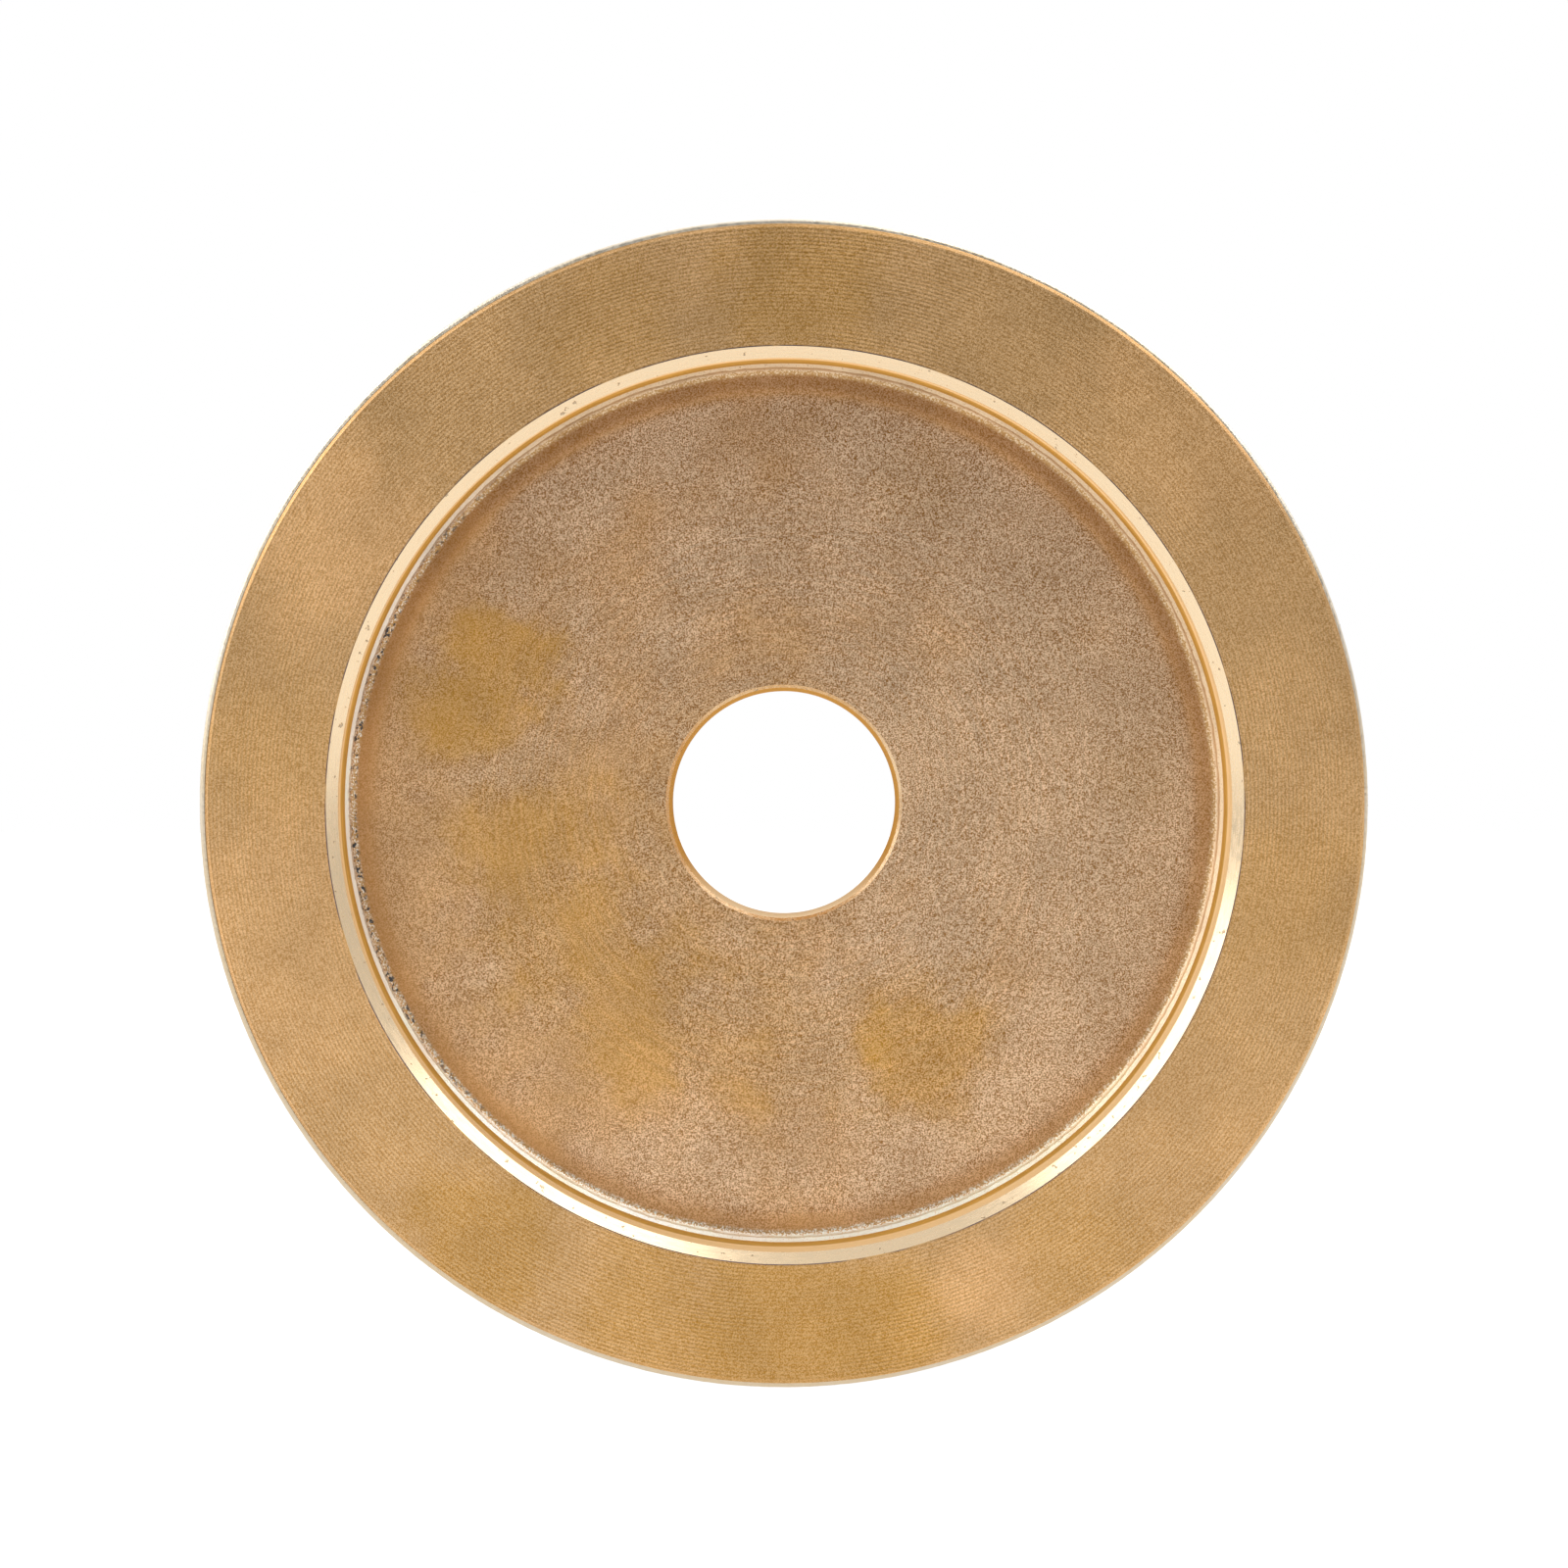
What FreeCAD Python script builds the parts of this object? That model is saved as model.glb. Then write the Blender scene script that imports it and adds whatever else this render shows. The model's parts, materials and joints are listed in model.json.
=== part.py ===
import FreeCAD, Part
import math
import os
import random

from FreeCAD import Rotation, Vector

# A diamond grinding wheel with one plated layer of diamond round its rim. The axis is Y, the
# front is towards -Y, and the origin is the middle of the bore. Lengths are in millimetres.

# Driving dimensions
WHEEL_DIAMETER = 100.0  # over the tips of the diamonds
WHEEL_WIDTH = 20.0
BORE_DIAMETER = 20.0
BORE_CHAMFER = 0.25

RECESS_DIAMETER = 76.4  # the turned wall at its mouth, the same on both sides
RECESS_DEPTH = 4.5
MOUTH_CHAMFER = 0.9
TURNED_DEPTH = 3.5  # how far down the wall the lathe tool went
WALL_TAPER = 0.1  # the turned wall closes in by this much, on the radius
LEDGE_WIDTH = 0.35  # left where the turned wall stops above the rough floor
FLOOR_FILLET = 0.6

GRAIN_REACH = 0.25  # from the middle of the largest diamond to its tips
SMALLEST_GRAIN = 0.8  # as a share of the largest
BOND_THICKNESS = 0.3
BOND_ROUND = 0.12
EDGE_BEVEL = 0.3  # the core's outer corners, bare of diamond

SECTORS = 12
GRAIN_ROWS = 12  # across the rim
GRAINS_IN_ROW = 11  # along the rim, in one sector
GRAIN_SCATTER = 0.3  # as a share of the spacing, small enough that no two diamonds meet
SCATTER_SEED = 7

# Worked out from them
WHEEL_RADIUS = WHEEL_DIAMETER / 2
CORE_RADIUS = WHEEL_RADIUS - 2 * GRAIN_REACH
BORE_RADIUS = BORE_DIAMETER / 2
MOUTH_RADIUS = RECESS_DIAMETER / 2
FOOT_RADIUS = MOUTH_RADIUS - WALL_TAPER
FLOOR_RADIUS = FOOT_RADIUS - LEDGE_WIDTH
HALF_WIDTH = WHEEL_WIDTH / 2
HALF_BAND = HALF_WIDTH - EDGE_BEVEL  # half the width that the plating covers
SECTOR_ANGLE = 2 * math.pi / SECTORS

AXIS = Vector(0, 1, 0)
CENTRE = Vector(0, 0, 0)
UNIT_AXES = (Vector(1, 0, 0), Vector(0, 1, 0), Vector(0, 0, 1))


def at(radius, height):
    """A point of a section: its distance from the axis and its height along the axis."""
    return Vector(radius, height, 0)


def line(start, end):
    return Part.LineSegment(start, end).toShape()


def path(points):
    """Straight edges through the points, in order."""
    return [line(start, end) for start, end in zip(points, points[1:])]


def round_corner(start, corner, end, radius):
    """A quarter arc that starts and ends a radius away from a square corner."""
    towards_start = (start - corner).normalize() * radius
    towards_end = (end - corner).normalize() * radius
    middle = corner + (towards_start + towards_end) * (1 - math.sqrt(0.5))
    return Part.Arc(corner + towards_start, middle, corner + towards_end).toShape()


def turned(edges):
    """The solid that a closed section sweeps round the axis."""
    section = Part.Face(Part.Wire(edges))
    solid = section.revolve(CENTRE, AXIS, 360)
    if solid.Volume < 0:
        solid.reverse()
    return solid


def side_section(side):
    """One side of the core from bore to rim: side is -1 at the front and 1 at the back."""
    face = side * HALF_WIDTH
    ledge = side * (HALF_WIDTH - TURNED_DEPTH)
    floor = side * (HALF_WIDTH - RECESS_DEPTH)
    web = [
        at(BORE_RADIUS, floor - side * BORE_CHAMFER),
        at(BORE_RADIUS + BORE_CHAMFER, floor),
        at(FLOOR_RADIUS - FLOOR_FILLET, floor),
    ]
    wall_foot = at(FLOOR_RADIUS, floor)
    fillet = round_corner(at(BORE_RADIUS, floor), wall_foot, at(FLOOR_RADIUS, face), FLOOR_FILLET)
    rim = [
        at(FLOOR_RADIUS, floor + side * FLOOR_FILLET),
        at(FLOOR_RADIUS, ledge),
        at(FOOT_RADIUS, ledge),
        at(MOUTH_RADIUS, face - side * MOUTH_CHAMFER),
        at(MOUTH_RADIUS + MOUTH_CHAMFER, face),
        at(CORE_RADIUS - EDGE_BEVEL, face),
        at(CORE_RADIUS, side * HALF_BAND),
    ]
    return path(web) + [fillet] + path(rim)


def wheel_body():
    """The one-piece steel core: a web with the bore, inside a rim that stands out on both sides."""
    front = side_section(-1)
    rim = line(at(CORE_RADIUS, -HALF_BAND), at(CORE_RADIUS, HALF_BAND))
    back = side_section(1)
    web_half = HALF_WIDTH - RECESS_DEPTH - BORE_CHAMFER
    bore = line(at(BORE_RADIUS, web_half), at(BORE_RADIUS, -web_half))
    return turned(front + [rim] + back[::-1] + [bore])


def nickel_bond():
    """The nickel plated round the rim, which grips the lower half of each diamond."""
    outer_radius = CORE_RADIUS + BOND_THICKNESS
    shoulder_radius = outer_radius - BOND_ROUND
    half_flat = HALF_BAND - BOND_ROUND
    inner_front = at(CORE_RADIUS, -HALF_BAND)
    outer_front = at(outer_radius, -HALF_BAND)
    outer_back = at(outer_radius, HALF_BAND)
    inner_back = at(CORE_RADIUS, HALF_BAND)
    return turned(
        [
            line(inner_front, at(shoulder_radius, -HALF_BAND)),
            round_corner(inner_front, outer_front, outer_back, BOND_ROUND),
            line(at(outer_radius, -half_flat), at(outer_radius, half_flat)),
            round_corner(outer_front, outer_back, inner_back, BOND_ROUND),
            line(at(shoulder_radius, HALF_BAND), inner_back),
            line(inner_back, inner_front),
        ]
    )


def grain(centre, reach, rotation):
    """A diamond crystal: an octahedron whose six tips are a reach away from its middle."""
    tips = [rotation.multVec(axis * sign) * reach + centre for axis in UNIT_AXES for sign in (1, -1)]
    sides = []
    for x in (0, 1):
        for y in (2, 3):
            for z in (4, 5):
                corners = [tips[x], tips[y], tips[z], tips[x]]
                sides.append(Part.Face(Part.makePolygon(corners)))
    crystal = Part.makeSolid(Part.makeShell(sides))
    if crystal.Volume < 0:
        crystal.reverse()
    return crystal


def grit_sector(number, scatter):
    """The diamonds on one sector of the rim, each standing on the core with its tip through the bond."""
    angle_step = SECTOR_ANGLE / GRAINS_IN_ROW
    row_step = 2 * (HALF_BAND - GRAIN_REACH) / GRAIN_ROWS
    crystals = []
    for row in range(GRAIN_ROWS):
        for column in range(GRAINS_IN_ROW):
            reach = GRAIN_REACH * scatter.uniform(SMALLEST_GRAIN, 1)
            along = column + 0.5 + scatter.uniform(-GRAIN_SCATTER, GRAIN_SCATTER)
            across = row + 0.5 + scatter.uniform(-GRAIN_SCATTER, GRAIN_SCATTER)
            angle = number * SECTOR_ANGLE + along * angle_step
            height = GRAIN_REACH - HALF_BAND + across * row_step
            radius = CORE_RADIUS + reach
            centre = Vector(radius * math.cos(angle), height, radius * math.sin(angle))
            turn = Rotation(scatter.uniform(0, 360), scatter.uniform(0, 360), scatter.uniform(0, 360))
            crystals.append(grain(centre, reach, turn))
    return Part.makeCompound(crystals)


def main():
    os.makedirs("parts", exist_ok=True)
    nodes = {"wheel_body": wheel_body(), "nickel_bond": nickel_bond()}
    scatter = random.Random(SCATTER_SEED)
    for number in range(SECTORS):
        nodes[f"diamond_grit_{number + 1:02d}"] = grit_sector(number, scatter)
    for name, shape in nodes.items():
        if not shape.isValid():
            raise RuntimeError(f"{name} isn't a valid shape")
        shape.exportStep(f"parts/{name}.step")
        print(name, len(shape.Solids), "solids", round(shape.Volume, 3), "mm3")


main()
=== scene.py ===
"""Looks of a plated diamond grinding wheel, laid out as an add-on and run as a script.

The wheel's axis is Y, its front is towards -Y, and it stands on its rim. Lengths are in metres.
"""

import json
import math

import bpy
import numpy as np
from bpy.props import FloatProperty, FloatVectorProperty, IntProperty, PointerProperty
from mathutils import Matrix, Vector, noise


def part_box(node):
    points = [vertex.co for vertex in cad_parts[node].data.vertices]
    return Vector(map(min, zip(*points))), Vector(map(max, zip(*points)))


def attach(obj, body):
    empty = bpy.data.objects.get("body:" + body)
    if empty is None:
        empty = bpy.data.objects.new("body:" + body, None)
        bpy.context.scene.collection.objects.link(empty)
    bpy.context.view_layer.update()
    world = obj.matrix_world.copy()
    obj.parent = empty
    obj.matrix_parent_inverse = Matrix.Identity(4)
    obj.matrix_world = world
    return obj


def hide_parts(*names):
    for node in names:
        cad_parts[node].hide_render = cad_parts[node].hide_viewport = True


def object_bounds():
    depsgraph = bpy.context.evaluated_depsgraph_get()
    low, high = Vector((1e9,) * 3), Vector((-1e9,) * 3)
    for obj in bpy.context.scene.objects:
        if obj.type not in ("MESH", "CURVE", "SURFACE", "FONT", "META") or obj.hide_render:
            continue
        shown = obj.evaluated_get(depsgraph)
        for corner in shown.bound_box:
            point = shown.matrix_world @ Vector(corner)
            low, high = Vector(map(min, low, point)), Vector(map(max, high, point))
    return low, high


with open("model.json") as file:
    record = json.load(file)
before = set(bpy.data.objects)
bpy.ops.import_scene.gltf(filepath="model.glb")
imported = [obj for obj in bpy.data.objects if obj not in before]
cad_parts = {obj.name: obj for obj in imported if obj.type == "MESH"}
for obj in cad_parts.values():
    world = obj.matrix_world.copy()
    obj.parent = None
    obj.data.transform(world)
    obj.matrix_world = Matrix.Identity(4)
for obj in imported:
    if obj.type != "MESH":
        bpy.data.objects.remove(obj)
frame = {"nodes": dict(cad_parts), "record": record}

bl_info = {
    "name": "Diamond grinding wheel",
    "version": (1, 0, 0),
    "blender": (4, 5, 0),
    "location": "View3D > Sidebar > Grinding wheel",
    "description": "Makes the core, the nickel bond, the diamonds and the stage of a wheel",
    "category": "Object",
}

MM = 0.001
CAD_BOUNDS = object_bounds()
CORE_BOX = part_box("wheel_body")
BOND_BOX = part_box("nickel_bond")
MOUNTS = {mount["name"]: mount for mount in frame["record"]["mounts"]}
GRIT_NODES = sorted(name for name in frame["nodes"] if name.startswith("diamond_grit_"))

CORE_RADIUS = CORE_BOX[1].x
HALF_WIDTH = CORE_BOX[1].y
BOND_RADIUS = BOND_BOX[1].x
HALF_BAND = BOND_BOX[1].y
BORE_RADIUS = MOUNTS["bore"]["dims"]["r_mm"] * MM
HALF_WEB = abs(MOUNTS["flange_seat_front"]["pos_m"][1])

SEGMENTS = 720


# Settings


def length_setting(name, description, millimetres):
    return FloatProperty(
        name=name, description=description, default=millimetres * MM, unit="LENGTH", precision=5
    )


def colour_setting(name, description, default):
    return FloatVectorProperty(
        name=name, description=description, default=default, subtype="COLOR", min=0.0, max=1.0
    )


def brightness_setting(name, description, default):
    return FloatProperty(name=name, description=description, default=default, min=0.0)


class WheelSizes(bpy.types.PropertyGroup):
    """Sizes of the turned core and of the diamonds."""

    mouth_radius: length_setting("Recess mouth", "Radius of the wall just inside the chamfer", 38.26)
    mouth_chamfer: length_setting("Mouth chamfer", "Width of the recess's chamfer", 0.9)
    step_radius: length_setting("Wall step", "Radius of the wall below its step", 37.96)
    step_height: length_setting("Step height", "Height of the step above the wheel's middle", 7.8)
    ledge_height: length_setting("Ledge height", "Height of the ledge above the wheel's middle", 6.6)
    floor_radius: length_setting("Rough wall", "Radius of the rough wall below the ledge", 37.66)
    floor_fillet: length_setting("Floor fillet", "Radius where the rough wall meets the floor", 0.6)
    bore_chamfer: length_setting("Bore chamfer", "Width of the chamfer on the bore", 0.25)
    edge_bevel: length_setting("Edge bevel", "Width of the bevel on the outer corners", 0.3)
    turning_pitch: length_setting("Turning pitch", "Distance between two tool lines", 0.33)
    grain_reach: length_setting("Diamond size", "From a diamond's middle to its corners", 0.25)
    grains: IntProperty(
        name="Diamonds", description="How many diamonds one sector holds", default=2700, min=1
    )


class WheelFinish(bpy.types.PropertyGroup):
    """Colours of the wheel's finishes."""

    face: colour_setting("Turned face", "Gold of the turned faces", (0.74, 0.435, 0.16))
    ochre: colour_setting("Stains", "Deeper gold of the stains", (0.67, 0.353, 0.055))
    edge: colour_setting("Cut edges", "Pale gold of the chamfers", (0.90, 0.71, 0.47))
    bore: colour_setting("Bore", "Deep gold of the bore and the turned wall", (0.69, 0.372, 0.085))
    floor: colour_setting("Blasted floor", "Pinkish gold of the recess floor", (0.745, 0.43, 0.165))
    # painted shade: the brown laid on the floor beside the wall
    painted_shade: colour_setting("Floor shade", "Brown of the floor beside the wall", (0.50, 0.235, 0.065))
    burr: colour_setting("Edge line", "Heat-tinted line along the mouth's edge", (0.17, 0.12, 0.12))
    nickel: colour_setting("Nickel", "Grey of the plated nickel", (0.545, 0.505, 0.46))
    diamond: colour_setting("Diamond", "Colour of the palest diamonds", (0.72, 0.72, 0.62))


class StageSettings(bpy.types.PropertyGroup):
    """The camera's place and the strength of the lights."""

    camera_distance: length_setting("Camera distance", "From the camera to the front face", 265.0)
    frame_width: length_setting("Frame width", "Width of the view at the front face", 133.7)
    camera_height: length_setting("Camera height", "Height of the camera above the axis", 1.63)
    panels: brightness_setting("Panels", "Brightness of the side panels", 1.8)
    sides: brightness_setting("Sides", "Brightness of the surround beside the wheel", 0.9)
    above: brightness_setting("Above", "Brightness in front, above the camera", 0.16)
    below: brightness_setting("Below", "Brightness in front, below the camera", 1.08)
    behind: brightness_setting("Behind", "Brightness behind the wheel", 0.75)


# Shader nodes


def connect(tree, socket, value):
    """Links the value to the socket if it is another socket, and otherwise sets it."""
    if isinstance(value, bpy.types.NodeSocket):
        tree.links.new(value, socket)
    else:
        socket.default_value = value


def add_node(tree, kind, inputs=None, **settings):
    made = tree.nodes.new(kind)
    for name, value in settings.items():
        setattr(made, name, value)
    for name, value in (inputs or {}).items():
        connect(tree, made.inputs[name], value)
    return made


def maths(tree, operation, *values):
    made = tree.nodes.new("ShaderNodeMath")
    made.operation = operation
    for socket, value in zip(made.inputs, values):
        connect(tree, socket, value)
    return made.outputs[0]


def blend(tree, share, first, second, blend_type="MIX"):
    """The colour that is the first where the share is 0 and the second where it is 1."""
    made = add_node(tree, "ShaderNodeMix", data_type="RGBA", blend_type=blend_type)
    connect(tree, made.inputs[0], share)
    connect(tree, made.inputs[6], first)
    connect(tree, made.inputs[7], second)
    return made.outputs[2]


def spread(tree, value, low, high, to_low=0.0, to_high=1.0):
    """The value's range from low to high, stretched to another range and clamped."""
    made = add_node(
        tree,
        "ShaderNodeMapRange",
        {"Value": value, "From Min": low, "From Max": high, "To Min": to_low, "To Max": to_high},
        interpolation_type="SMOOTHSTEP",
    )
    return made.outputs[0]


def between(tree, share, first, second):
    """The number that is the first where the share is 0 and the second where it is 1."""
    made = add_node(tree, "ShaderNodeMix", data_type="FLOAT")
    connect(tree, made.inputs[0], share)
    connect(tree, made.inputs[2], first)
    connect(tree, made.inputs[3], second)
    return made.outputs[0]


def ranged(tree, texture, low=0.0, high=1.0):
    """Noise, most of which lies between 0.3 and 0.7, as a number from low to high."""
    return spread(tree, texture, 0.3, 0.7, low, high)


def grain_with_painted_light(tree, colour, grain, depth):
    """The colour of a real grain with painted shade in its pits and painted highlights on its tips,
    where the grain is low and where it is high.
    """
    pits = blend(tree, depth, colour, PIT_SHADE, "MULTIPLY")
    lit_tips = blend(tree, maths(tree, "MULTIPLY", depth, TIP_HIGHLIGHT_SHARE), colour, TIP_HIGHLIGHT)
    return blend(tree, spread(tree, grain, 0.38, 0.62), pits, lit_tips)


def toned(tree, colour, tone):
    """The colour made lighter or darker by a number round 1."""
    grey = add_node(tree, "ShaderNodeCombineColor", {0: tone, 1: tone, 2: tone}).outputs[0]
    return blend(tree, 1.0, colour, grey, "MULTIPLY")


def speckle(tree, place, size, detail=2.0, roughness=0.6):
    """Noise between 0 and 1 whose grains are about this size."""
    inputs = {"Vector": place, "Scale": 1.0 / size, "Detail": detail, "Roughness": roughness}
    return add_node(tree, "ShaderNodeTexNoise", inputs).outputs[0]


def rgba(colour, share=1.0):
    return (colour[0] * share, colour[1] * share, colour[2] * share, 1.0)


class Finish:
    """A material being built, with the places on the wheel that its patterns follow."""

    def __init__(self, name):
        self.material = bpy.data.materials.new(name)
        self.material.use_nodes = True
        self.tree = self.material.node_tree
        self.shader = self.tree.nodes["Principled BSDF"]
        self.place = add_node(self.tree, "ShaderNodeTexCoord").outputs["Object"]
        parts = add_node(self.tree, "ShaderNodeSeparateXYZ", {0: self.place})
        self.x, self.y, self.z = parts.outputs
        flat = {"X": self.x, "Z": self.z}
        self.across = add_node(self.tree, "ShaderNodeCombineXYZ", flat).outputs[0]
        length = add_node(self.tree, "ShaderNodeVectorMath", {0: self.across}, operation="LENGTH")
        self.radius = length.outputs["Value"]

    def round_streaks(self, width, per_turn):
        """Noise drawn out round the axis: fine across the turning and long along it."""
        tree = self.tree
        unit = add_node(tree, "ShaderNodeVectorMath", {0: self.across}, operation="NORMALIZE")
        parts = add_node(tree, "ShaderNodeSeparateXYZ", {0: unit.outputs[0]})
        slant = maths(tree, "MULTIPLY_ADD", self.radius, STREAK_SLANT, self.y)
        across = maths(tree, "DIVIDE", slant, width)
        turn_x = maths(tree, "MULTIPLY", parts.outputs[0], per_turn)
        turn_z = maths(tree, "MULTIPLY", parts.outputs[2], per_turn)
        place = add_node(tree, "ShaderNodeCombineXYZ", {"X": turn_x, "Y": across, "Z": turn_z})
        streaks = {"Vector": place.outputs[0], "Scale": 1.0}
        return add_node(tree, "ShaderNodeTexNoise", streaks).outputs[0]

    def tool_lines(self, pitch):
        """Waves from 0 to 1 along the radius, one for each pass of the tool."""
        wander = maths(self.tree, "MULTIPLY", speckle(self.tree, self.place, 3 * MM), 2.0)
        phase = maths(self.tree, "MULTIPLY_ADD", self.radius, 2 * math.pi / pitch, wander)
        return maths(self.tree, "MULTIPLY_ADD", maths(self.tree, "SINE", phase), 0.5, 0.5)

    def bump(self, height, depth):
        made = add_node(self.tree, "ShaderNodeBump", {"Height": height, "Distance": depth})
        self.tree.links.new(made.outputs[0], self.shader.inputs["Normal"])

    def surface(self, colour, roughness, metallic=1.0):
        connect(self.tree, self.shader.inputs["Base Color"], colour)
        connect(self.tree, self.shader.inputs["Roughness"], roughness)
        self.shader.inputs["Metallic"].default_value = metallic


# Materials

PIT_SHADE = (0.46, 0.36, 0.25, 1.0)  # painted shade: multiplies the gold in the pits of the grain
# painted highlight on the tips of the grain
TIP_HIGHLIGHT = (1.0, 0.87, 0.70, 1.0)
TIP_HIGHLIGHT_SHARE = 0.34  # how strong the painted highlights on the tips are beside the pits
# painted highlight at the bottom of the bore
BORE_HIGHLIGHT = (1.0, 0.84, 0.58, 1.0)
UPPER_WALL = (0.95, 0.66, 0.34, 1.0)
# painted glints in the fillet's grit, paler on the -X side and at the bottom
GLINT = (0.95, 0.76, 0.52, 1.0)
PALE_GLINT = (1.0, 0.92, 0.80, 1.0)
DIRT = (0.07, 0.07, 0.075, 1.0)
COOL_NICKEL = (1.0, 0.98, 0.96, 1.0)
WARM_NICKEL = (1.0, 0.93, 0.82, 1.0)
# painted light on the nickel's edge bead: shaded low down, lit at the top
SHADED_BEAD = (0.64, 0.55, 0.42, 1.0)
LIT_BEAD = (1.0, 0.92, 0.78, 1.0)
STRAW = (0.62, 0.55, 0.30, 1.0)

TURNED_GRAIN = 0.12 * MM
BLASTED_GRAIN = 0.13 * MM
GRIT_SIZE = 0.16 * MM
STREAK_SLANT = 1.7  # how much closer streaks lie on a flat face than on a wall along the axis
DIAMOND_IOR = 2.42

# Patches: the sideways place and the height of each middle, its reach, all in millimetres, and
# how strong it is.
FLOOR_STAINS = (
    (-24.0, 12.5, 6.5, 1.0),
    (-27.5, 7.5, 6.0, 0.9),
    (-22.0, -2.5, 9.0, 0.75),
    (-18.5, -11.0, 10.0, 0.8),
    (-12.0, -18.0, 10.0, 0.7),
    (-3.0, -20.5, 9.0, 0.6),
    (4.5, -21.0, 7.0, 0.5),
    (11.5, -21.5, 8.0, 1.0),
    (-9.0, -9.0, 11.0, 0.35),
    (11.0, 27.5, 5.0, 0.35),
    (31.0, 2.0, 4.0, 0.3),
)
FACE_STAINS = (
    (1.5, 44.5, 8.0, 0.6),
    (-1.0, -45.0, 11.0, 0.8),
    (8.0, -44.5, 7.5, 0.9),
    (-11.0, -44.0, 8.0, 0.6),
    (-26.0, -37.0, 7.5, 0.7),
    (-43.5, 4.0, 8.0, 0.25),
    (-15.0, 41.0, 7.0, 0.35),
    (25.0, -38.0, 7.0, 0.4),
    (43.0, -8.0, 8.0, 0.3),
)
FACE_PALE = (
    (-37.5, 22.5, 10.0, 0.8),
    (-44.0, -12.0, 14.0, 0.5),
    (34.0, -28.0, 10.0, 0.3),
    (37.0, 33.0, 14.0, 0.6),
    (17.0, -41.0, 5.0, 0.7),
)


def stains(finish, spots):
    """How strong the patches are, from 0 to 1, with ragged edges."""
    tree = finish.tree
    ragged = speckle(tree, finish.place, 5 * MM, detail=6.0)
    ragged = maths(tree, "MULTIPLY_ADD", ragged, 1.7, -0.35)
    deepest = 0.0
    for x, z, reach, depth in spots:
        inputs = {0: finish.across, 1: (x * MM, 0.0, z * MM)}
        away = add_node(tree, "ShaderNodeVectorMath", inputs, operation="DISTANCE").outputs["Value"]
        edge = maths(tree, "MULTIPLY_ADD", away, 1 / (reach * MM), ragged)
        deepest = maths(tree, "MAXIMUM", deepest, spread(tree, edge, 0.95, 1.65, depth, 0.0))
    return deepest


def clouds(finish, size):
    """A tone that drifts a little lighter and darker over patches of about this size."""
    return ranged(finish.tree, speckle(finish.tree, finish.place, size, detail=3.0), 0.92, 1.08)


def turned_gold(colours, pitch):
    """The flat side faces: fine tool lines, a sparkle of pits with painted highlights and painted
    shade, and darker and paler patches.
    """
    finish = Finish("turned_gold")
    tree = finish.tree
    pits = speckle(tree, finish.place, TURNED_GRAIN, roughness=0.8)
    lines = finish.tool_lines(pitch)
    shown = spread(tree, speckle(tree, finish.place, 14 * MM), 0.35, 0.6, 0.4, 1.0)
    groove = maths(tree, "MULTIPLY", lines, shown)
    pale = stains(finish, FACE_PALE)
    base = blend(tree, stains(finish, FACE_STAINS), rgba(colours.face), rgba(colours.ochre))
    base = blend(tree, pale, base, rgba(colours.floor, 1.08))
    tone = maths(tree, "MULTIPLY_ADD", groove, 0.22, maths(tree, "MULTIPLY_ADD", pale, 0.12, 0.91))
    tone = maths(tree, "MULTIPLY", tone, clouds(finish, 9 * MM))
    finish.bump(maths(tree, "MULTIPLY_ADD", groove, 0.7, pits), 0.012 * MM)
    colour = toned(tree, grain_with_painted_light(tree, base, pits, 0.58), tone)
    finish.surface(colour, ranged(tree, pits, 0.38, 0.54))
    return finish.material


def cut_gold(colours):
    """A bright cut with faint marks round it and a few nicks, for the chamfers."""
    finish = Finish("cut_gold")
    tree = finish.tree
    marks = finish.round_streaks(0.12 * MM, 30.0)
    base = blend(tree, ranged(tree, marks), rgba(colours.edge, 0.92), rgba(colours.edge))
    nicks = spread(tree, speckle(tree, finish.place, 0.7 * MM, detail=3.0), 0.66, 0.70)
    base = blend(tree, nicks, base, rgba(colours.edge, 0.55))
    finish.bump(maths(tree, "MULTIPLY_ADD", nicks, -3.0, marks), 0.006 * MM)
    finish.surface(base, ranged(tree, marks, 0.2, 0.3))
    return finish.material


def bored_gold(colours, step_radius):
    """The bore and the turned wall: a satin cut of deeper gold, streaked round the axis. The wall is
    paler above its step, and the bottom of the bore is paler with a painted highlight."""
    finish = Finish("bored_gold")
    tree = finish.tree
    marks = finish.round_streaks(0.2 * MM, 12.0)
    base = blend(tree, ranged(tree, marks), rgba(colours.bore, 0.8), rgba(colours.bore))
    # painted highlight: the bottom of the bore is paler
    painted_bore_highlight = spread(tree, finish.z, -4 * MM, -9.5 * MM, 0.0, 0.75)
    in_bore = spread(tree, finish.radius, BORE_RADIUS + 2 * MM, BORE_RADIUS + 1 * MM)
    base = blend(tree, maths(tree, "MULTIPLY", painted_bore_highlight, in_bore), base, BORE_HIGHLIGHT)
    above_step = spread(tree, finish.radius, step_radius + 0.12 * MM, step_radius + 0.22 * MM)
    base = blend(tree, above_step, base, UPPER_WALL)
    finish.bump(marks, 0.02 * MM)
    finish.surface(base, ranged(tree, marks, 0.4, 0.55), metallic=0.05)
    finish.shader.inputs["Specular IOR Level"].default_value = 0.0
    return finish.material


def tinted_line(colours):
    """A hair line along the mouth's edge, tinted by heat and worn away here and there."""
    finish = Finish("tinted_line")
    tree = finish.tree
    worn = spread(tree, speckle(tree, finish.place, 5 * MM, detail=4.0), 0.46, 0.66)
    base = blend(tree, worn, rgba(colours.burr), rgba(colours.face))
    finish.bump(speckle(tree, finish.place, 0.2 * MM), 0.01 * MM)
    finish.surface(base, spread(tree, worn, 0.0, 1.0, 0.35, 0.5))
    return finish.material


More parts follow.
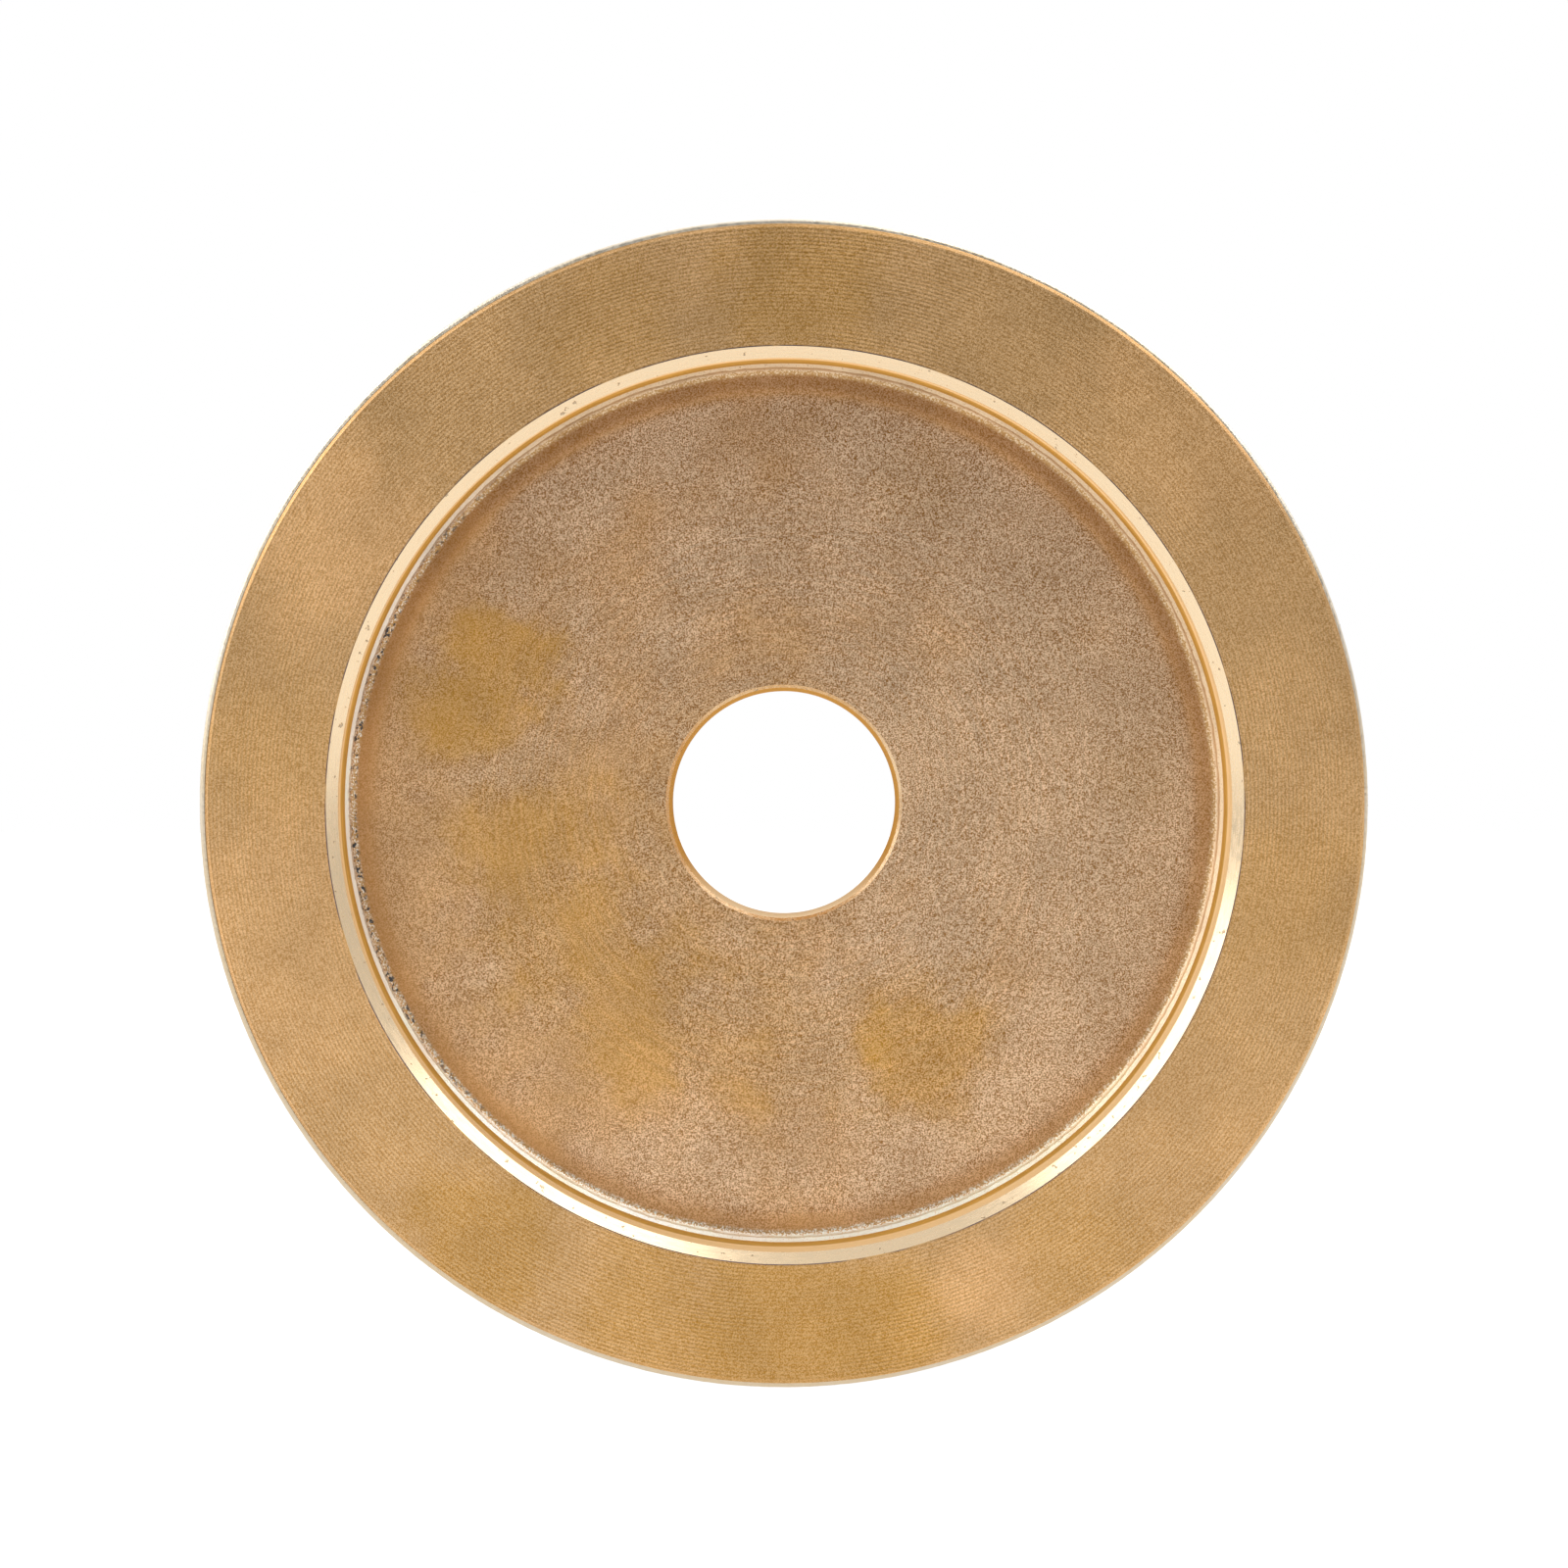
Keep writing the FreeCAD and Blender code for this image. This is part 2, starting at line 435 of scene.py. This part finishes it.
def near_wall(tree, radius, wall_radius, start, end, full=1.0):
    """A number that rises from 0 to full between two distances inside the wall."""
    return spread(tree, radius, wall_radius - start, wall_radius - end, 0.0, full)


def painted_wall_shade(finish, wall_radius):
    """Painted shade: how brown the floor is beside the wall, most of all at the top."""
    beside = near_wall(finish.tree, finish.radius, wall_radius, 3.4 * MM, 1.0 * MM, 0.5)
    upwards = spread(finish.tree, finish.z, -12 * MM, 30 * MM, 1.0, 1.7)
    return maths(finish.tree, "MULTIPLY", beside, upwards)


def floor_grain(finish, stained, painted_shade):
    """How deep the blasted grain is: in patches, more towards +X, less in stains and in the painted
    shade.
    """
    tree = finish.tree
    patches = speckle(tree, finish.place, 11 * MM, detail=3.0)
    patches = maths(tree, "MULTIPLY_ADD", finish.x, 5.0, patches)
    coarse = spread(tree, patches, 0.30, 0.58, 0.82, 1.55)
    smooth = maths(tree, "MAXIMUM", painted_shade, maths(tree, "MULTIPLY", stained, 0.4))
    return maths(tree, "MULTIPLY", coarse, spread(tree, smooth, 0.0, 0.6, 1.0, 0.4))


def fillet_grit_and_glints(finish, colours, side, lip):
    """The rough wall and its fillet: painted glints in the grit, most of them at the lip, and palest
    on the -X side and at the bottom, as painted light."""
    tree = finish.tree
    # painted light: the glints are paler towards the bottom and on the -X side
    low = spread(tree, finish.z, 15 * MM, -30 * MM)
    lift = maths(tree, "MULTIPLY", lip, maths(tree, "MULTIPLY_ADD", side, 0.2, 0.22))
    lift = maths(tree, "MULTIPLY_ADD", low, 0.03, maths(tree, "ADD", lift, 0.03))
    grit = maths(tree, "ADD", speckle(tree, finish.place, GRIT_SIZE, roughness=0.75), lift)
    low = maths(tree, "MULTIPLY", low, spread(tree, finish.x, 36 * MM, 8 * MM, 0.25, 1.0))
    glint = blend(tree, maths(tree, "MAXIMUM", side, low), GLINT, PALE_GLINT)
    return blend(tree, spread(tree, grit, 0.5, 0.7), rgba(colours.floor, 0.75), glint)


def blasted_gold(colours, wall_radius):
    """The recess floor: coarse blasted grain, stains, a painted brown shade beside the wall and
    towards the top, and a paler gritty fillet with painted glints and a few dark specks on the -X
    side."""
    finish = Finish("blasted_gold")
    tree = finish.tree
    grain = speckle(tree, finish.place, BLASTED_GRAIN, roughness=0.8)
    stained = stains(finish, FLOOR_STAINS)
    painted_shade = painted_wall_shade(finish, wall_radius)
    # painted shade: the floor turns browner towards the top
    painted_shade_above = spread(tree, finish.z, 2 * MM, 36 * MM, 0.0, 0.4)
    base = blend(tree, stained, rgba(colours.floor), rgba(colours.ochre))
    base = blend(tree, maths(tree, "MAXIMUM", painted_shade, painted_shade_above), base, rgba(colours.painted_shade))
    base = grain_with_painted_light(tree, base, grain, floor_grain(finish, stained, painted_shade))

    side = spread(tree, finish.x, -19 * MM, -35 * MM)
    drawn_in = maths(tree, "MULTIPLY_ADD", side, -0.15 * MM, finish.radius)
    lip = near_wall(tree, drawn_in, wall_radius, 0.32 * MM, 0.06 * MM)
    fillet = near_wall(tree, finish.radius, wall_radius, 0.75 * MM, 0.45 * MM)
    base = blend(tree, fillet, base, fillet_grit_and_glints(finish, colours, side, lip))
    soiled = spread(tree, speckle(tree, finish.place, 0.45 * MM, detail=4.0), 0.53, 0.60)
    corner = maths(tree, "SUBTRACT", fillet, lip)
    dirt = maths(tree, "MULTIPLY", maths(tree, "MULTIPLY", soiled, side), corner)
    base = blend(tree, dirt, base, DIRT)

    arcs = finish.round_streaks(0.5 * MM, 5.0)
    drawn = spread(tree, finish.radius, 22 * MM, 32 * MM, 0.45, 0.12)
    tone = maths(tree, "MULTIPLY_ADD", arcs, drawn, maths(tree, "MULTIPLY_ADD", drawn, -0.5, 1.0))
    # painted light: lighter towards the bottom, and darker where the painted shade is deepest
    tone = maths(tree, "MULTIPLY", tone, spread(tree, finish.z, 0.0, -32 * MM, 1.0, 1.1))
    tone = maths(tree, "MULTIPLY", tone, spread(tree, painted_shade, 0.55, 0.85, 1.0, 0.84))
    tone = maths(tree, "MULTIPLY", tone, clouds(finish, 8 * MM))
    finish.bump(maths(tree, "MULTIPLY_ADD", arcs, 0.25, grain), 0.03 * MM)
    finish.surface(toned(tree, base, tone), ranged(tree, grain, 0.42, 0.6))
    return finish.material


def plated_nickel(colours):
    """Satin nickel, lumpy where it has grown round the diamonds, with a cleaner bead along each edge
    that is darker low down as painted shade and paler towards the top as painted light."""
    finish = Finish("plated_nickel")
    tree = finish.tree
    lumps = speckle(tree, finish.place, 0.35 * MM, detail=3.0)
    warm = spread(tree, speckle(tree, finish.place, 6 * MM), 0.35, 0.65)
    base = blend(tree, ranged(tree, lumps), rgba(colours.nickel, 0.7), rgba(colours.nickel))
    height = maths(tree, "ABSOLUTE", finish.y)
    bead = spread(tree, height, HALF_BAND - 0.8 * MM, HALF_BAND - 0.35 * MM)
    # painted light: the bead is shaded low down and lit towards the top
    painted_bead_light = blend(tree, spread(tree, finish.z, -20 * MM, 35 * MM), SHADED_BEAD, LIT_BEAD)
    base = blend(tree, bead, base, painted_bead_light)
    base = blend(tree, 1.0, base, blend(tree, warm, COOL_NICKEL, WARM_NICKEL), "MULTIPLY")
    finish.bump(lumps, 0.05 * MM)
    finish.surface(base, ranged(tree, lumps, 0.28, 0.45))
    return finish.material


def synthetic_diamond(colours):
    """Grey-green to straw-coloured crystals, each of its own tone, with glassy faces."""
    finish = Finish("synthetic_diamond")
    tree = finish.tree
    own = add_node(tree, "ShaderNodeNewGeometry").outputs["Random Per Island"]
    darkest = rgba(colours.diamond, 0.12)
    tone = blend(tree, spread(tree, own, 0.0, 1.0), darkest, rgba(colours.diamond))
    haze = speckle(tree, finish.place, 0.15 * MM)
    colour = blend(tree, spread(tree, haze, 0.4, 0.7, 0.0, 0.5), tone, STRAW)
    finish.bump(haze, 0.004 * MM)
    finish.surface(colour, ranged(tree, haze, 0.08, 0.2), metallic=0.0)
    finish.shader.inputs["IOR"].default_value = DIAMOND_IOR
    return finish.material


# Meshes

SHARP_ANGLE = math.radians(17)


def stretch(start, end, count):
    """Evenly spaced section points after the start, up to and with the end."""
    whole = np.array(end) - np.array(start)
    return [tuple(np.array(start) + whole * number / count) for number in range(1, count + 1)]


def lathe(name, section, zones, materials, shifts=None, roughen=None):
    """A closed section turned round Y. zones gives each band's material, shifts each point's
    sideways offset, and roughen returns how far a vertex moves along the radius and the axis."""
    count = len(section)
    angles = np.linspace(0.0, 2 * math.pi, SEGMENTS, endpoint=False)
    radii = np.repeat(np.array([p[0] for p in section])[:, None], SEGMENTS, axis=1)
    heights = np.repeat(np.array([p[1] for p in section])[:, None], SEGMENTS, axis=1)
    if roughen:
        for row in range(count):
            for column in range(SEGMENTS):
                out, along = roughen(row, angles[column])
                radii[row, column] += out
                heights[row, column] += along
    offsets = np.zeros((count, 2)) if shifts is None else np.array(shifts)
    points = np.empty((count, SEGMENTS, 3))
    points[:, :, 0] = radii * np.cos(angles) + offsets[:, :1]
    points[:, :, 1] = heights
    points[:, :, 2] = radii * np.sin(angles) + offsets[:, 1:]
    rows = np.arange(count)[:, None]
    columns = np.arange(SEGMENTS)[None, :]
    next_rows = (rows + 1) % count
    next_columns = (columns + 1) % SEGMENTS
    corners = [
        rows * SEGMENTS + columns,
        rows * SEGMENTS + next_columns,
        next_rows * SEGMENTS + next_columns,
        next_rows * SEGMENTS + columns,
    ]
    faces = np.stack(corners, axis=-1).reshape(-1, 4)
    mesh = bpy.data.meshes.new(name)
    mesh.from_pydata(points.reshape(-1, 3).tolist(), [], faces.tolist())
    for material in materials:
        mesh.materials.append(material)
    mesh.polygons.foreach_set("material_index", np.repeat(np.array(zones), SEGMENTS))
    mesh.shade_smooth()
    mesh.set_sharp_from_angle(angle=SHARP_ANGLE)
    return show(name, mesh)


def show(name, mesh):
    mesh.update()
    piece = bpy.data.objects.new(name, mesh)
    bpy.context.scene.collection.objects.link(piece)
    return piece


def settle(piece, slot, *nodes):
    """The piece rides on the wheel and stands for its CAD nodes."""
    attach(piece, "root")
    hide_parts(*nodes)


TURNED, CUT, BLASTED, BORED, LINE = range(5)

# How far the turned edges lie off the bore's axis, along X and Z
MOUTH_SHIFT = (0.09 * MM, -0.17 * MM)
FOOT_SHIFT = (0.02 * MM, 0.01 * MM)
EDGE_SHIFT = (0.06 * MM, -0.02 * MM)
NO_SHIFT = (0.0, 0.0)

# Small sizes of the core's section, and how many bands its arcs and flats are made of
STEP_SLOPE = 0.12 * MM
LEDGE_SLOPE = 0.29 * MM
WALL_LEAN = 0.02 * MM
LINE_WIDTH = 0.09 * MM
FILLET_BANDS = 7
FLOOR_BANDS = 22
FACE_BANDS = 14

# Unevenness of the blasted wall and floor: how long the lumps are and how high
FINE_LUMP = 0.5 * MM
COARSE_LUMP = 1.3 * MM
WALL_LUMPS = 0.05 * MM
FILLET_LUMPS = 0.03 * MM
SWELL_LENGTH = 7 * MM
SWELL = 0.03 * MM


def core_side(sizes):
    """One side of the core from mid-bore to rim, as (point, zone of the band after it, shift)."""
    fillet_middle = (sizes.floor_radius - sizes.floor_fillet, HALF_WEB + sizes.floor_fillet)
    rows = [((BORE_RADIUS, 0.0), BORED, NO_SHIFT)]

    def to(radius, height, zone, shift=NO_SHIFT, bands=1):
        start = rows[-1][0]
        rows[-1] = (start, zone, rows[-1][2])
        for point in stretch(start, (radius, height), bands):
            rows.append((point, zone, shift))

    to(BORE_RADIUS, HALF_WEB - sizes.bore_chamfer, BORED, bands=3)
    to(BORE_RADIUS + sizes.bore_chamfer, HALF_WEB, CUT)
    to(fillet_middle[0], HALF_WEB, BLASTED, bands=FLOOR_BANDS)
    for turn in range(1, FILLET_BANDS + 1):
        angle = turn / FILLET_BANDS * math.pi / 2
        radius = fillet_middle[0] + sizes.floor_fillet * math.sin(angle)
        height = fillet_middle[1] - sizes.floor_fillet * math.cos(angle)
        to(radius, height, BLASTED, FOOT_SHIFT)
    to(sizes.floor_radius, sizes.ledge_height - LEDGE_SLOPE, BLASTED, FOOT_SHIFT, bands=2)
    to(sizes.step_radius - WALL_LEAN, sizes.ledge_height, BLASTED, FOOT_SHIFT)
    to(sizes.step_radius, sizes.step_height, BORED, FOOT_SHIFT, bands=2)
    to(sizes.mouth_radius - WALL_LEAN, sizes.step_height + STEP_SLOPE, BORED, FOOT_SHIFT)
    to(sizes.mouth_radius, HALF_WIDTH - sizes.mouth_chamfer, BORED, MOUTH_SHIFT)
    mouth_edge = sizes.mouth_radius + sizes.mouth_chamfer
    to(mouth_edge, HALF_WIDTH, CUT, MOUTH_SHIFT)
    to(mouth_edge + LINE_WIDTH, HALF_WIDTH, LINE, MOUTH_SHIFT)
    to(CORE_RADIUS - sizes.edge_bevel, HALF_WIDTH, TURNED, EDGE_SHIFT, bands=FACE_BANDS)
    to(CORE_RADIUS, HALF_WIDTH - sizes.edge_bevel, TURNED, EDGE_SHIFT)
    return rows


def core_roughness(rows):
    """How a vertex of the core strays: the blasted floor and wall are lumpy, the cuts are true."""

    def stray(row, angle):
        point, zone, _ = rows[row]
        if zone != BLASTED:
            return 0.0, 0.0
        place = Vector((point[0] * math.cos(angle), point[1], point[0] * math.sin(angle)))
        side = math.copysign(1.0, point[1])
        above_floor = abs(point[1]) > HALF_WEB + 0.02 * MM
        if above_floor:
            lump = noise.noise(place / FINE_LUMP) + noise.noise(place / COARSE_LUMP)
            return lump * WALL_LUMPS, side * lump * FILLET_LUMPS
        return 0.0, side * noise.noise(place / SWELL_LENGTH) * SWELL

    return stray


class WHEEL_OT_core(bpy.types.Operator):
    """Makes the gold-coloured steel core"""

    bl_idname = "wheel.core"
    bl_label = "Steel core"

    def execute(self, context):
        sizes = context.scene.wheel_sizes
        colours = context.scene.wheel_finish
        back = core_side(sizes)
        front = [((point[0], -point[1]), zone, shift) for point, zone, shift in back]
        rim_gap = [zone for _, zone, _ in back[:-1]] + [CUT]
        front_zones = [zone for _, zone, _ in front[:-1]][::-1]
        rows = back + front[::-1][:-1]
        zones = rim_gap + front_zones
        materials = [
            turned_gold(colours, sizes.turning_pitch),
            cut_gold(colours),
            blasted_gold(colours, sizes.floor_radius),
            bored_gold(colours, sizes.step_radius),
            tinted_line(colours),
        ]
        piece = lathe(
            "steel_core",
            [point for point, _, _ in rows],
            zones,
            materials,
            [shift for _, _, shift in rows],
            core_roughness(rows),
        )
        settle(piece, "gold_steel", "wheel_body")
        return {"FINISHED"}


# The plating, round the rim and where it builds up along its two edges
LEAN = math.radians(23)  # it is thinnest on this side of the rim
BEAD_BANDS = 6
WIDTH_BANDS = 40
SUNK = 0.02 * MM  # how far it reaches into the core, which hides the joint
EDGE_WIDTH = 0.8 * MM
ALL_OVER = 0.03 * MM
AT_EDGES = 0.08 * MM
AWAY_FROM_LEAN = 0.03 * MM
LUMP_LENGTH = 0.6 * MM
LUMP_HEIGHT = 0.02 * MM


class WHEEL_OT_bond(bpy.types.Operator):
    """Makes the nickel plated round the rim"""

    bl_idname = "wheel.bond"
    bl_label = "Nickel bond"

    def execute(self, context):
        inner = CORE_RADIUS - SUNK
        thickness = BOND_RADIUS - CORE_RADIUS
        bead = []
        for turn in range(BEAD_BANDS + 1):
            angle = turn / BEAD_BANDS * math.pi / 2
            height = thickness * (1 - math.cos(angle)) - HALF_BAND
            bead.append((CORE_RADIUS + thickness * math.sin(angle), height))
        section = [(inner, -HALF_BAND)] + bead
        section += stretch(section[-1], (BOND_RADIUS, HALF_BAND - thickness), WIDTH_BANDS)
        section += [(radius, -height) for radius, height in bead[-2::-1]]
        section += [(inner, HALF_BAND)]

        def lumps(row, angle):
            radius, height = section[row]
            share = max(0.0, (radius - CORE_RADIUS) / thickness)
            place = Vector((radius * math.cos(angle), height, radius * math.sin(angle)))
            at_edge = max(0.0, 1 - (HALF_BAND - abs(height)) / EDGE_WIDTH)
            away = 1 - math.cos(angle - LEAN)
            thicker = ALL_OVER + at_edge * (AT_EDGES + AWAY_FROM_LEAN * away)
            return share * (thicker + LUMP_HEIGHT * noise.noise(place / LUMP_LENGTH)), 0.0

        material = plated_nickel(context.scene.wheel_finish)
        piece = lathe("nickel_plating", section, [0] * len(section), [material], roughen=lumps)
        settle(piece, "nickel", "nickel_bond")
        return {"FINISHED"}


GRIT_SEED = 11
CELL_JITTER = 0.42  # as a share of a cell
SMALLEST_DIAMOND = 0.72  # as a share of the largest
FLATTEST_DIAMOND = 0.8  # its depth as a share of its width
EDGE_GAP = 1.7  # kept clear at each edge of the plating, in diamond sizes

CRYSTAL_CORNERS = np.array(
    [(x, y, 0) for x in (-1, 1) for y in (-1, 1)]
    + [(x, 0, z) for x in (-1, 1) for z in (-1, 1)]
    + [(0, y, z) for y in (-1, 1) for z in (-1, 1)]
) / math.sqrt(2)


def crystal_faces():
    """The six squares and eight triangles of a cuboctahedron, each wound to face outwards."""
    faces = []
    signs = (-1, 1)
    directions = [axis * sign for axis in np.eye(3) for sign in signs]
    diagonals = [(x, y, z) for x in signs for y in signs for z in signs]
    directions += [np.array(diagonal) / math.sqrt(3) for diagonal in diagonals]
    for direction in directions:
        reach = CRYSTAL_CORNERS @ direction
        corners = np.flatnonzero(reach > reach.max() - 1e-6)
        across = CRYSTAL_CORNERS[corners[0]] - direction * reach[corners[0]]
        up = np.cross(direction, across)
        turn = np.arctan2(CRYSTAL_CORNERS[corners] @ up, CRYSTAL_CORNERS[corners] @ across)
        faces.append(corners[np.argsort(turn)].tolist())
    return faces


def scattered(count, span_along, span_across, random):
    """Places spread over a rectangle with no two close, one in each cell of a jittered grid."""
    rows = round(math.sqrt(count * span_across / span_along))
    columns = round(count / rows)
    cells = np.array([(column, row) for row in range(rows) for column in range(columns)], float)
    cells[:, 0] += (cells[:, 1] % 2) * 0.5
    cells += 0.5 + random.uniform(-CELL_JITTER, CELL_JITTER, cells.shape)
    cells[:, 0] = cells[:, 0] % columns
    return cells / (columns, rows) * (span_along, span_across)


def crystals(name, sector, sizes, random):
    """The diamonds of one sector as one mesh, each on the core with its tip out of the bond."""
    span = 2 * math.pi / len(GRIT_NODES)
    width = 2 * (HALF_BAND - EDGE_GAP * sizes.grain_reach)
    places = scattered(sizes.grains, span * CORE_RADIUS, width, random)
    count = len(places)
    angles = sector * span + places[:, 0] / CORE_RADIUS
    heights = places[:, 1] - width / 2
    reach = sizes.grain_reach * random.uniform(SMALLEST_DIAMOND, 1.0, count)
    seats = CORE_RADIUS + reach
    middles = np.stack([seats * np.cos(angles), heights, seats * np.sin(angles)], axis=1)
    turns = random.normal(size=(count, 4))
    turns /= np.linalg.norm(turns, axis=1, keepdims=True)
    w, x, y, z = turns.T
    rows = [
        [1 - 2 * (y * y + z * z), 2 * (x * y - w * z), 2 * (x * z + w * y)],
        [2 * (x * y + w * z), 1 - 2 * (x * x + z * z), 2 * (y * z - w * x)],
        [2 * (x * z - w * y), 2 * (y * z + w * x), 1 - 2 * (x * x + y * y)],
    ]
    rotation = np.array(rows).transpose(2, 0, 1)
    squash = random.uniform(FLATTEST_DIAMOND, 1.0, (count, 1, 3))
    shapes = CRYSTAL_CORNERS[None] * squash * reach[:, None, None]
    points = np.einsum("nij,nkj->nki", rotation, shapes) + middles[:, None]
    one = crystal_faces()
    starts = range(0, count * len(CRYSTAL_CORNERS), len(CRYSTAL_CORNERS))
    faces = [[corner + start for corner in face] for start in starts for face in one]
    mesh = bpy.data.meshes.new(name)
    mesh.from_pydata(points.reshape(-1, 3).tolist(), [], faces)
    return mesh


class WHEEL_OT_diamonds(bpy.types.Operator):
    """Makes the diamonds, one mesh for each sector of the rim"""

    bl_idname = "wheel.diamonds"
    bl_label = "Diamonds"

    def execute(self, context):
        sizes = context.scene.wheel_sizes
        material = synthetic_diamond(context.scene.wheel_finish)
        random = np.random.default_rng(GRIT_SEED)
        for sector, node in enumerate(GRIT_NODES):
            mesh = crystals(f"diamonds_{sector + 1:02d}", sector, sizes, random)
            mesh.materials.append(material)
            settle(show(mesh.name, mesh), "diamond", node)
        return {"FINISHED"}


# Stage

WHITE = (1.0, 1.0, 1.0, 1.0)
FLOOR_GREY = (0.2, 0.2, 0.2, 1.0)
FLOOR_GLOW = 0.95
FLOOR_REACH = 3.0
FLOOR_GAP = 0.02 * MM
SIDE_FALL = -0.17  # how much weaker the surround is to the left and right
LIGHT_LEAN = 0.3  # how far the light in front leans over, so that its weak side is up and to +X
PANEL_DISTANCE = 0.6
PANELS = (  # the direction from the wheel, the share of the strength, and the size
    ("panel_left", (-0.84, -0.2, 0.54), 1.0, 0.48),
    ("panel_right", (0.54, -0.2, 0.84), 1.0, 0.44),
    ("panel_behind", (0.1, 0.85, 0.5), 0.7, 0.40),
)
SENSOR_WIDTH = 36.0


def white_floor():
    """A wide pale floor under the rim."""
    level = CAD_BOUNDS[0][2] - FLOOR_GAP
    signs = [(-1, -1), (1, -1), (1, 1), (-1, 1)]
    corners = [(x * FLOOR_REACH, y * FLOOR_REACH, level) for x, y in signs]
    mesh = bpy.data.meshes.new("floor")
    mesh.from_pydata(corners, [], [(0, 1, 2, 3)])
    material = bpy.data.materials.new("pale_floor")
    material.use_nodes = True
    shader = material.node_tree.nodes["Principled BSDF"]
    shader.inputs["Base Color"].default_value = FLOOR_GREY
    shader.inputs["Roughness"].default_value = 0.9
    shader.inputs["Emission Color"].default_value = WHITE
    shader.inputs["Emission Strength"].default_value = FLOOR_GLOW
    mesh.materials.append(material)
    show("floor", mesh)


def surround(settings):
    """A white room, seen as white. Its light is a little weaker to the left and right, and in front
    of the wheel it is strong low down and weak high up."""
    world = bpy.data.worlds.new("surround")
    world.use_nodes = True
    tree = world.node_tree
    background = tree.nodes["Background"]
    direction = add_node(tree, "ShaderNodeTexCoord").outputs["Generated"]
    x, y, z = add_node(tree, "ShaderNodeSeparateXYZ", {0: direction}).outputs
    sides = maths(tree, "MULTIPLY_ADD", maths(tree, "MULTIPLY", x, x), SIDE_FALL, settings.sides)
    height = maths(tree, "MULTIPLY_ADD", x, LIGHT_LEAN, z)
    front = spread(tree, height, -0.35, 0.35, settings.below, settings.above)
    lit = between(tree, spread(tree, y, -0.25, -0.75), sides, front)
    lit = between(tree, spread(tree, y, 0.25, 0.75), lit, settings.behind)
    seen = add_node(tree, "ShaderNodeLightPath").outputs["Is Camera Ray"]
    strength = maths(tree, "MAXIMUM", lit, seen)
    connect(tree, background.inputs["Strength"], strength)
    background.inputs["Color"].default_value = WHITE
    bpy.context.scene.world = world


def side_panel(name, direction, strength, size):
    """A square soft light that faces the wheel from this direction."""
    light = bpy.data.lights.new(name, "AREA")
    light.shape = "SQUARE"
    light.size = size
    light.energy = strength * math.pi * size * size
    lamp = bpy.data.objects.new(name, light)
    towards = Vector(direction).normalized()
    lamp.location = towards * PANEL_DISTANCE
    lamp.rotation_euler = towards.to_track_quat("Z", "Y").to_euler()
    lamp.visible_camera = False
    bpy.context.scene.collection.objects.link(lamp)


class WHEEL_OT_stage(bpy.types.Operator):
    """Makes the floor, the lights and the camera"""

    bl_idname = "wheel.stage"
    bl_label = "Stage"

    def execute(self, context):
        scene = context.scene
        settings = scene.wheel_stage
        white_floor()
        surround(settings)
        for name, direction, share, size in PANELS:
            side_panel(name, direction, settings.panels * share, size)
        lens = bpy.data.cameras.new("camera")
        lens.sensor_width = SENSOR_WIDTH
        lens.lens = lens.sensor_width * settings.camera_distance / settings.frame_width
        lens.clip_start = 0.01
        camera = bpy.data.objects.new("camera", lens)
        camera.location = (0.0, -HALF_WIDTH - settings.camera_distance, settings.camera_height)
        camera.rotation_euler = (math.pi / 2, 0.0, 0.0)
        scene.collection.objects.link(camera)
        scene.camera = camera
        scene.view_settings.view_transform = "Standard"
        return {"FINISHED"}


OPERATORS = (WHEEL_OT_core, WHEEL_OT_bond, WHEEL_OT_diamonds, WHEEL_OT_stage)


class WHEEL_PT_panel(bpy.types.Panel):
    """Lists the wheel's pieces with their settings"""

    bl_idname = "WHEEL_PT_panel"
    bl_label = "Grinding wheel"
    bl_space_type = "VIEW_3D"
    bl_region_type = "UI"
    bl_category = "Grinding wheel"

    def draw(self, context):
        for group in SETTINGS:
            box = self.layout.box()
            for name in SETTINGS[group].__annotations__:
                box.prop(getattr(context.scene, group), name)
        for operator in OPERATORS:
            self.layout.operator(operator.bl_idname)


SETTINGS = {"wheel_sizes": WheelSizes, "wheel_finish": WheelFinish, "wheel_stage": StageSettings}
CLASSES = (*SETTINGS.values(), *OPERATORS, WHEEL_PT_panel)


def register():
    for made in CLASSES:
        bpy.utils.register_class(made)
    for name, group in SETTINGS.items():
        setattr(bpy.types.Scene, name, PointerProperty(type=group))


def unregister():
    for name in SETTINGS:
        delattr(bpy.types.Scene, name)
    for made in reversed(CLASSES):
        bpy.utils.unregister_class(made)


def main():
    register()
    bpy.ops.wheel.core()
    bpy.ops.wheel.bond()
    bpy.ops.wheel.diamonds()
    bpy.ops.wheel.stage()


if __name__ == "__main__":
    main()
